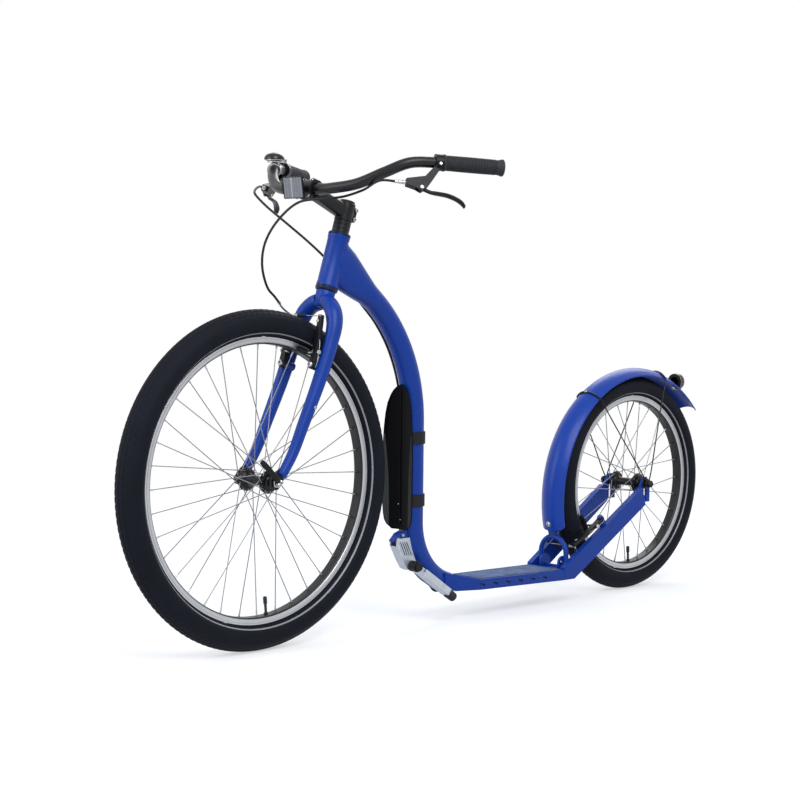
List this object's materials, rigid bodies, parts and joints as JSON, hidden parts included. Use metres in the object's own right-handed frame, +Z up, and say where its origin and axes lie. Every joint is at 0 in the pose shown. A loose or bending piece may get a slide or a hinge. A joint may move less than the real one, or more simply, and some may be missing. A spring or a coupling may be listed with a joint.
{
  "type": "kick bike",
  "caption": "Adult kick bike with a large front wheel, a small rear wheel, a low footboard, hand brakes on both rims, a rear fender, a fold-up stand and a bell.",
  "frame": {"origin": "on the ground, under the middle of the overall length and width", "axes": "+X forward towards the front wheel, +Y towards the rider's left, +Z up"},
  "size_m": [1.7566, 0.6272, 1.0057],
  "materials": {
    "frame_paint": "satin-gloss blue paint",
    "fender_paint": "gloss blue moulding",
    "black_plastic": "satin black moulding",
    "black_alloy": "black anodised",
    "black_steel": "black oxide",
    "bright_steel": "plated",
    "bright_alloy": "polished",
    "cast_alloy": "tumbled casting",
    "rim_alloy": "brushed, machined sides",
    "spoke_steel": "drawn stainless spokes, black hub",
    "stay_wire": "black coated wire",
    "tyre_rubber": "matt black with fine tread",
    "grip_rubber": "soft matt rubber",
    "strap_rubber": "moulded rubber",
    "grip_tape": "coarse grit",
    "cable_housing": "satin sleeve over wound steel",
    "bell_brass": "dark bronze",
    "red_lens": "moulded prisms",
    "clear_lens": "moulded prisms over silver"
  },
  "bodies": {
    "frame": {"main_tube": "frame_paint", "deck": "frame_paint", "grip_tape": "grip_tape", "left_chainstay": "frame_paint", "right_chainstay": "frame_paint", "rear_hoop": "frame_paint", "upper_headset_cup": "black_alloy", "lower_headset_cup": "black_alloy", "downtube_guard": "black_plastic", "upper_guard_strap": "strap_rubber", "lower_guard_strap": "strap_rubber", "rear_fender": "fender_paint", "front_fender_stay": "stay_wire", "rear_fender_stay": "stay_wire", "front_stay_clip": "black_plastic", "rear_stay_clip": "black_plastic", "rear_reflector_housing": "black_plastic", "rear_reflector_lens": "red_lens", "stand_bracket": "cast_alloy", "rear_axle": "black_steel", "rear_brake_cable": "cable_housing", "rear_brake_cable_lead": "cable_housing"},
    "steering": {"fork": "frame_paint", "headset_spacers": "black_alloy", "top_cap": "black_alloy", "stem": "black_alloy", "stem_faceplate": "black_alloy", "handlebar": "black_alloy", "left_grip": "grip_rubber", "right_grip": "grip_rubber", "left_lever_perch": "black_alloy", "right_lever_perch": "black_alloy", "left_barrel_adjuster": "bright_alloy", "right_barrel_adjuster": "bright_alloy", "bell_base": "bright_steel", "bell_dome": "bell_brass", "front_reflector_bracket": "black_plastic", "front_reflector_lens": "clear_lens", "front_brake_cable": "cable_housing", "front_axle": "bright_steel"},
    "front_wheel": {"front_tyre": "tyre_rubber", "front_rim": "rim_alloy", "front_hub_and_spokes": "spoke_steel", "front_valve": "black_plastic"},
    "rear_wheel": {"rear_tyre": "tyre_rubber", "rear_rim": "rim_alloy", "rear_hub_and_spokes": "spoke_steel", "rear_valve": "black_plastic"},
    "left_lever": {"left_brake_lever": "black_alloy"},
    "right_lever": {"right_brake_lever": "black_alloy"},
    "left_front_arm": {"left_front_brake_arm": "black_alloy"},
    "right_front_arm": {"right_front_brake_arm": "black_alloy", "front_brake_noodle": "bright_steel"},
    "left_rear_arm": {"left_rear_brake_arm": "black_alloy", "rear_brake_noodle": "bright_steel"},
    "right_rear_arm": {"right_rear_brake_arm": "black_alloy"},
    "stand": {"stand_leg": "cast_alloy", "stand_foot": "strap_rubber"},
    "quick_release": {"quick_release_lever": "black_alloy"},
    "striker": {"bell_striker": "bright_steel"}
  },
  "joints": [
    {"name": "steering", "type": "hinge", "parent": "frame", "child": "steering", "pos_m": [0.32456, 0, 0.82695], "axis": [-0.3007, 0, 0.9537], "range_deg": [-45, 45], "deforming": ["rear_brake_cable_lead"]},
    {"name": "front_wheel_spin", "type": "hinge", "parent": "steering", "child": "front_wheel", "pos_m": [0.53875, 0, 0.3395], "axis": [0, 1, 0], "continuous": true},
    {"name": "rear_wheel_spin", "type": "hinge", "parent": "frame", "child": "rear_wheel", "pos_m": [-0.62125, 0, 0.257], "axis": [0, 1, 0], "continuous": true},
    {"name": "left_lever_pull", "type": "hinge", "parent": "steering", "child": "left_lever", "pos_m": [0.31943, 0.23039, 0.91766], "axis": [0.453, 0.8208, 0.348], "range_deg": [0, 25], "stiffness_Nm_per_rad": 1},
    {"name": "right_lever_pull", "type": "hinge", "parent": "steering", "child": "right_lever", "pos_m": [0.31943, -0.23039, 0.91766], "axis": [-0.453, 0.8208, -0.348], "range_deg": [0, 25], "stiffness_Nm_per_rad": 1},
    {"name": "left_front_arm_close", "type": "hinge", "parent": "steering", "child": "left_front_arm", "pos_m": [0.43665, 0.045, 0.56787], "axis": [0.9537, 0, 0.3007], "range_deg": [0, 4.5]},
    {"name": "right_front_arm_close", "type": "hinge", "parent": "steering", "child": "right_front_arm", "pos_m": [0.43665, -0.045, 0.56787], "axis": [-0.9537, 0, -0.3007], "range_deg": [0, 4.5]},
    {"name": "left_rear_arm_close", "type": "hinge", "parent": "frame", "child": "left_rear_arm", "pos_m": [-0.46552, 0.049, 0.18385], "axis": [-0.5225, 0, -0.8526], "range_deg": [0, 4.5]},
    {"name": "right_rear_arm_close", "type": "hinge", "parent": "frame", "child": "right_rear_arm", "pos_m": [-0.46552, -0.049, 0.18385], "axis": [0.5225, 0, 0.8526], "range_deg": [0, 4.5]},
    {"name": "stand_swing", "type": "hinge", "parent": "frame", "child": "stand", "pos_m": [0.121, 0.024, 0.129], "axis": [0, -1, 0], "range_deg": [0, 56]},
    {"name": "quick_release_open", "type": "hinge", "parent": "steering", "child": "quick_release", "pos_m": [0.53875, 0.0673, 0.3395], "axis": [-0.7431, 0, 0.6691], "range_deg": [0, 150]},
    {"name": "bell_striker_flick", "type": "hinge", "parent": "steering", "child": "striker", "pos_m": [0.31543, -0.2049, 0.98683], "axis": [0, 0, 1], "range_deg": [-25, 5], "stiffness_Nm_per_rad": 0.02}
  ],
  "couplings": [
    {"joint": "left_front_arm_close", "follows": "left_lever_pull", "ratio": 0.18},
    {"joint": "right_front_arm_close", "follows": "left_lever_pull", "ratio": 0.18},
    {"joint": "left_rear_arm_close", "follows": "right_lever_pull", "ratio": 0.18},
    {"joint": "right_rear_arm_close", "follows": "right_lever_pull", "ratio": 0.18}
  ]
}
